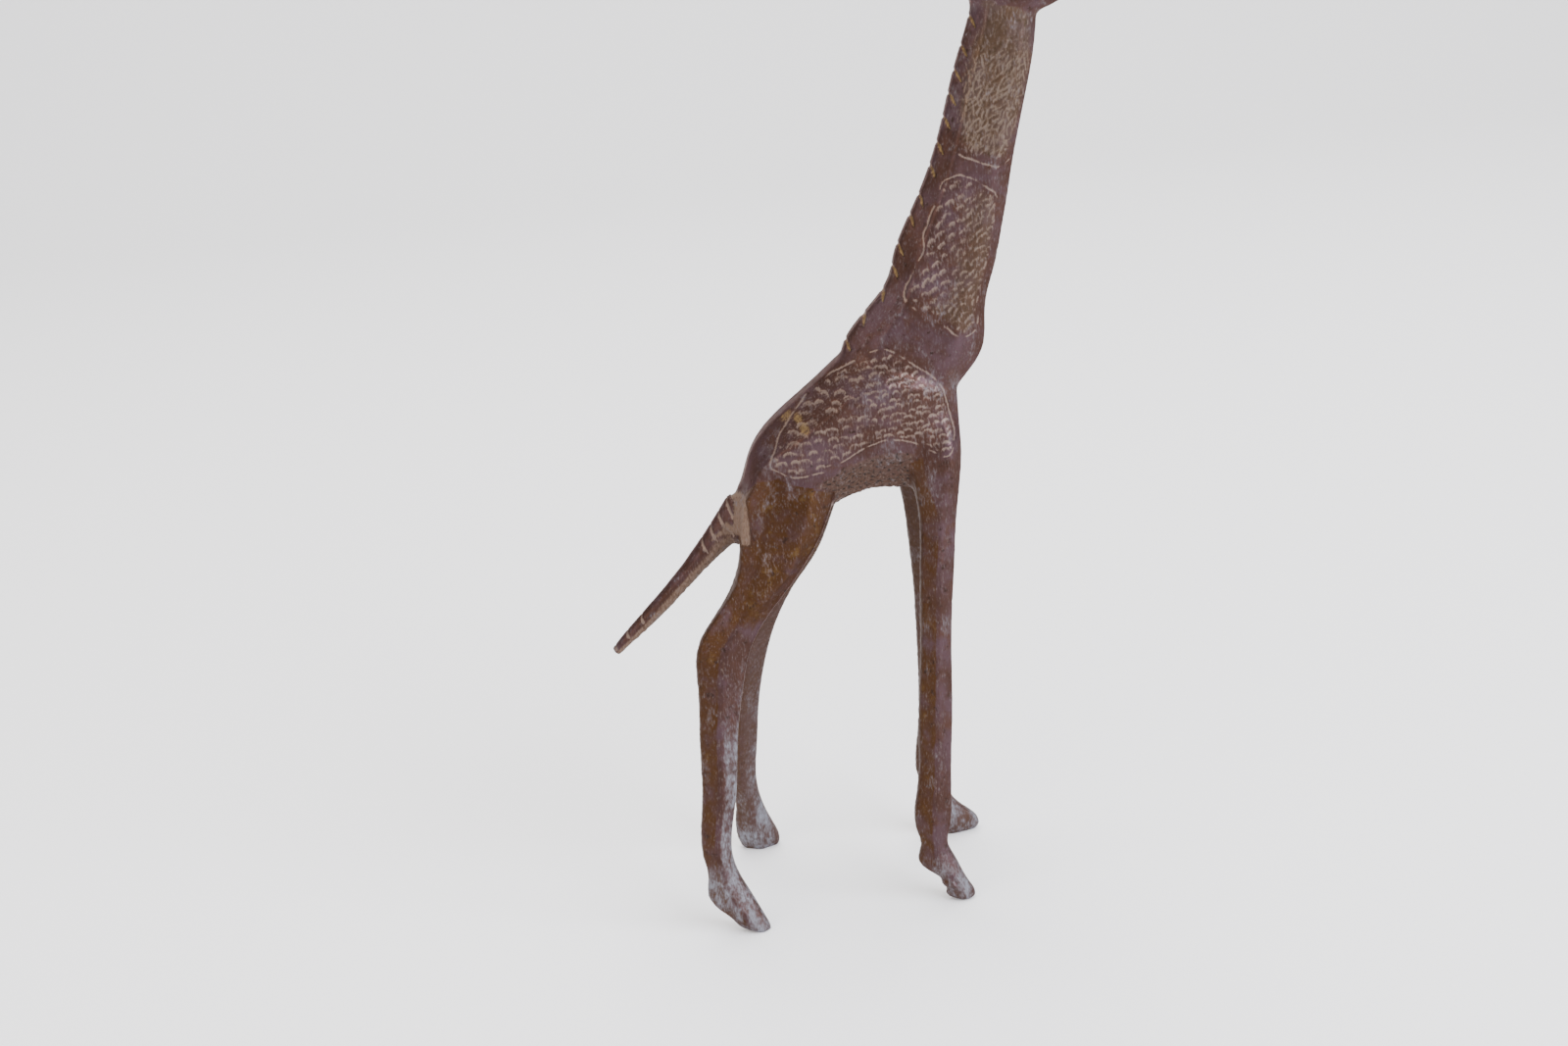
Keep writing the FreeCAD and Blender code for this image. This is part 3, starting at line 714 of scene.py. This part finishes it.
def patinated_bronze():
    # Cast and filed bronze, waxed brown patina: a dark, warm, cloudy ground with a soft satin sheen.
    material = bpy.data.materials.new("bronze, cast and filed, waxed brown patina")
    material.use_nodes = True
    tree = material.node_tree
    tree.nodes.clear()
    where = add_node(tree, "ShaderNodeTexCoord", output="Object")
    upright = add_node(
        tree, "ShaderNodeMapping", values={"Scale": (1.0, 1.0, 0.35)}, links={"Vector": where}
    )
    # Clouds of 10 and 4 mm, blotches of 1.6 mm, and scratches 0.35 mm wide that run up and down. Real
    # scratches are finer: these are drawn as coarse as they need to be to show.
    clouds, small_clouds, blotches, scratches = (
        add_node(
            tree,
            "ShaderNodeTexNoise",
            values={"Scale": 1 / (size_mm * MM), "Detail": detail, "Roughness": 0.6},
            links={"Vector": source},
        )
        for size_mm, detail, source in (
            (10.0, 4.0, where),
            (4.0, 4.0, where),
            (1.6, 3.0, where),
            (0.35, 2.0, upright),
        )
    )
    skin = {
        name: add_node(tree, "ShaderNodeAttribute", {"attribute_name": name}, output="Fac")
        for name in skin_values
    }
    # Scratches and clouds break up what is laid on the patina.
    broken = {
        name: add_node(
            tree,
            "ShaderNodeMath",
            {"operation": "MULTIPLY_ADD"},
            values={1: amount},
            links={0: breaking, 2: skin[name]},
        )
        for name, breaking, amount in (
            ("skin_stroke", scratches, 1.7),
            ("skin_gold", scratches, 1.2),
            ("skin_bloom_and_sheen", scratches, 1.5),
            ("skin_sand", scratches, 1.3),
            ("skin_olive_and_rear_shade", small_clouds, 2.4),
        )
    }
    # The ground colour, and then each layer: what shows it, from where to where, and its colour.
    colour = add_node(
        tree,
        "ShaderNodeMix",
        {"data_type": "RGBA"},
        values={0: 0.0, 6: linear("#34211b")},
        output=2,
    )
    for share, low, high, code in (
        (clouds, 0.40, 0.62, "#3f2e32"),
        (small_clouds, 0.48, 0.70, "#3b2620"),
        # Olive patina on the thighs, and painted shade on the rear facets of the legs.
        (broken["skin_olive_and_rear_shade"], 1.50, 2.20, "#37210e"),
        (broken["skin_olive_and_rear_shade"], 2.20, 2.60, "#4c371c"),
        (blotches, 0.58, 0.74, "#261711"),
        (skin["skin_rough"], 0.0, 1.4, "#3c2a20"),
        # Painted shade in the hollows.
        (skin["skin_hollow_shade"], 0.0, 1.0, "#190f0b"),
        (broken["skin_sand"], 0.95, 1.75, "#655245"),
        (broken["skin_stroke"], 1.00, 1.80, "#67574e"),
        (skin["skin_moss"], 0.0, 1.2, "#453a28"),
        # Painted sheen on the convex edges.
        (skin["skin_ridge_sheen"], 0.0, 1.3, "#5c4c4d"),
        # Pale grey bloom, and painted sheen down the fronts of the hind shanks and on the breast.
        (broken["skin_bloom_and_sheen"], 0.70, 1.60, "#544c4e"),
        (broken["skin_bloom_and_sheen"], 1.10, 2.20, "#737780"),
        (broken["skin_gold"], 0.85, 1.60, "#6c5738"),
    ):
        shown = add_node(
            tree,
            "ShaderNodeMapRange",
            {"interpolation_type": "SMOOTHSTEP"},
            values={"From Min": low, "From Max": high},
            links={"Value": share},
        )
        colour = add_node(
            tree,
            "ShaderNodeMix",
            {"data_type": "RGBA"},
            values={7: linear(code)},
            links={0: shown, 6: colour},
            output=2,
        )

    # Wax over patina reflects softly. The bloom, with the painted sheen laid on it, and the sandy skin are
    # dry.
    dry = add_node(
        tree,
        "ShaderNodeMath",
        {"operation": "MAXIMUM"},
        links={0: skin["skin_bloom_and_sheen"], 1: skin["skin_rough"]},
    )
    shine = add_node(
        tree,
        "ShaderNodeMapRange",
        values={"From Min": 0.3, "From Max": 0.7, "To Min": 0.30, "To Max": 0.48},
        links={"Value": blotches},
    )
    rough = add_node(tree, "ShaderNodeMix", values={3: 0.70}, links={0: dry, 2: shine})
    metal = add_node(
        tree, "ShaderNodeMapRange", values={"To Min": 0.80, "To Max": 0.25}, links={"Value": dry}
    )
    # Grit of the mould and file marks, up to 0.04 mm deep.
    gritty = add_node(
        tree,
        "ShaderNodeMapRange",
        values={"To Min": 0.25, "To Max": 0.9},
        links={"Value": skin["skin_rough"]},
    )
    relief = add_node(
        tree,
        "ShaderNodeBump",
        values={"Distance": 0.04 * MM},
        links={"Height": scratches, "Strength": gritty},
    )
    metal_skin = add_node(
        tree,
        "ShaderNodeBsdfPrincipled",
        values={"Coat Weight": 0.08, "Coat Roughness": 0.30, "Specular Tint": linear("#b49c90")},
        links={"Base Color": colour, "Roughness": rough, "Metallic": metal, "Normal": relief},
    )
    add_node(tree, "ShaderNodeOutputMaterial", links={"Surface": metal_skin})
    return material


bronze = patinated_bronze()

# --------------------------------------------------------------------------------------------------
# The pieces
# The skin is cut along the joints into the twelve pieces of the design. Each is closed with a cap
# inside the metal, and keeps the whole skin's normals, so that no joint shows.
# --------------------------------------------------------------------------------------------------

loop_vertex = np.empty(len(skin.loops), np.int64)
skin.loops.foreach_get("vertex_index", loop_vertex)
quads = loop_vertex.reshape(-1, 4)
quad_owner = owner[quads[:, 0]]


def boundary_loops(faces):
    """The open edges of some faces, as closed rings of vertices, each in the faces' own direction."""
    sides = np.stack([faces, np.roll(faces, -1, 1)], -1).reshape(-1, 2)
    seen = {(a, b) for a, b in sides.tolist()}
    following = {}
    for a, b in seen:
        if (b, a) not in seen:
            following.setdefault(a, []).append(b)
    rings = []
    while following:
        start = next(iter(following))
        ring = [start]
        while True:
            options = following[ring[-1]]
            step = options.pop()
            if not options:
                del following[ring[-1]]
            if step == start:
                break
            ring.append(step)
        rings.append(ring)
    return rings


def piece_of(node, index):
    """Cuts out a node's piece, caps it, and fixes it to the body."""
    faces = quads[quad_owner == index]
    used, compact = np.unique(faces, return_inverse=True)
    compact = compact.reshape(faces.shape)
    spots = list(place[used] * MM)
    caps = []
    for ring in boundary_loops(compact):
        spots.append(np.mean([spots[v] for v in ring], axis=0))
        middle = len(spots) - 1
        caps += [(b, a, middle) for a, b in zip(ring, ring[1:] + ring[:1])]
    mesh = bpy.data.meshes.new(f"{node}_cast")
    mesh.from_pydata(spots, [], compact.tolist() + caps)
    mesh.polygons.foreach_set("use_smooth", [True] * len(compact) + [False] * len(caps))
    mesh.update()
    for name, values in skin_values.items():
        attribute = mesh.attributes.new(name, "FLOAT", "POINT")
        spread = np.concatenate([values[used], np.zeros(len(spots) - len(used))])
        attribute.data.foreach_set("value", spread.astype(np.float32))
    corner_normals = np.zeros((len(mesh.loops), 3))
    corner_vertex = np.empty(len(mesh.loops), np.int64)
    mesh.loops.foreach_get("vertex_index", corner_vertex)
    outer = compact.size
    corner_normals[:outer] = normal[used][corner_vertex[:outer]]
    mesh.normals_split_custom_set(corner_normals.tolist())
    mesh.materials.append(bronze)
    made = new_mesh_object(f"{node}_cast", mesh)
    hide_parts(node)
    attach(made, "root")
    return made


for index, node in enumerate(NODES):
    made = piece_of(node, index)
    print(made.name, len(made.data.polygons), "faces")

# --------------------------------------------------------------------------------------------------
# Floor, light and camera
# A plain pale floor that curves up behind, a wide soft light from the upper right in front, a weaker
# one from the left and one from above.
# --------------------------------------------------------------------------------------------------

CAMERA_TARGET_MM = (-21.0, 1.0, 80.1)
CAMERA_DISTANCE_MM = 443.0
CAMERA_HEADING = math.radians(2.5)
CAMERA_DOWN = math.radians(18.0)
CAMERA_ROLL = math.radians(5.5)
FLOOR_COLOUR = "#f6f5f4"
FIGURE_MIDDLE_MM = (0.0, 0.0, 90.0)


def plain_matte(name, code):
    # Uncoated paper, dyed through: gives an even matt colour without a sheen.
    material = bpy.data.materials.new(name)
    material.use_nodes = True
    shader = material.node_tree.nodes["Principled BSDF"]
    shader.inputs["Base Color"].default_value = linear(code)
    shader.inputs["Roughness"].default_value = 0.8
    return material


def backdrop():
    """Paper that lies flat under the figure and sweeps up behind it."""
    half_width, near, bend, radius, top = 2.6, -2.2, 0.9, 0.6, 2.6
    profile = [(near, 0.0), (bend, 0.0)]
    for angle in np.linspace(0, math.pi / 2, 17)[1:]:
        profile.append((bend + radius * math.sin(angle), radius * (1 - math.cos(angle))))
    profile.append((bend + radius, top))
    spots = [(x, y, z) for y, z in profile for x in (-half_width, half_width)]
    faces = [(2 * i, 2 * i + 1, 2 * i + 3, 2 * i + 2) for i in range(len(profile) - 1)]
    mesh = bpy.data.meshes.new("floor")
    mesh.from_pydata(spots, [], faces)
    mesh.polygons.foreach_set("use_smooth", [True] * len(faces))
    mesh.materials.append(plain_matte("floor paper", FLOOR_COLOUR))
    return new_mesh_object("floor", mesh)


def area_light(name, place, size, watts, code):
    """A square soft light that shines at the middle of the figure."""
    light = bpy.data.lights.new(name, "AREA")
    light.shape = "SQUARE"
    light.size = size
    light.energy = watts
    light.color = linear(code)[:3]
    lamp = bpy.data.objects.new(name, light)
    bpy.context.scene.collection.objects.link(lamp)
    lamp.location = place
    aim = Vector(FIGURE_MIDDLE_MM) * MM - Vector(place)
    lamp.rotation_euler = aim.to_track_quat("-Z", "Y").to_euler()
    return lamp


floor = backdrop()
lamps = [
    area_light("window", (0.80, -0.70, 0.62), 0.9, 28.0, "#eef3ff"),
    area_light("room", (-0.8, -0.7, 0.6), 0.9, 6.0, "#fff1e4"),
    area_light("top", (0.0, 0.35, 1.1), 1.0, 14.0, "#ffffff"),
]

world = bpy.data.worlds.new("room")
bpy.context.scene.world = world
world.use_nodes = True
sky = world.node_tree.nodes["Background"]
sky.inputs["Color"].default_value = linear("#f1f1f4")
sky.inputs["Strength"].default_value = 1.4

camera = bpy.data.objects.new("camera", bpy.data.cameras.new("camera"))
bpy.context.scene.collection.objects.link(camera)
camera.data.lens = 50.0
camera.data.sensor_width = 36.0
camera.data.clip_start = 0.01
look = Vector(
    (
        math.sin(CAMERA_HEADING) * math.cos(CAMERA_DOWN),
        math.cos(CAMERA_HEADING) * math.cos(CAMERA_DOWN),
        -math.sin(CAMERA_DOWN),
    )
)
level_right = Vector((math.cos(CAMERA_HEADING), -math.sin(CAMERA_HEADING), 0.0))
level_up = level_right.cross(look)
right = level_right * math.cos(CAMERA_ROLL) - level_up * math.sin(CAMERA_ROLL)
up = level_right * math.sin(CAMERA_ROLL) + level_up * math.cos(CAMERA_ROLL)
turn = Matrix((right, up, -look)).transposed()
eye_point = (Vector(CAMERA_TARGET_MM) - look * CAMERA_DISTANCE_MM) * MM
camera.matrix_world = Matrix.Translation(eye_point) @ turn.to_4x4()
bpy.context.scene.camera = camera
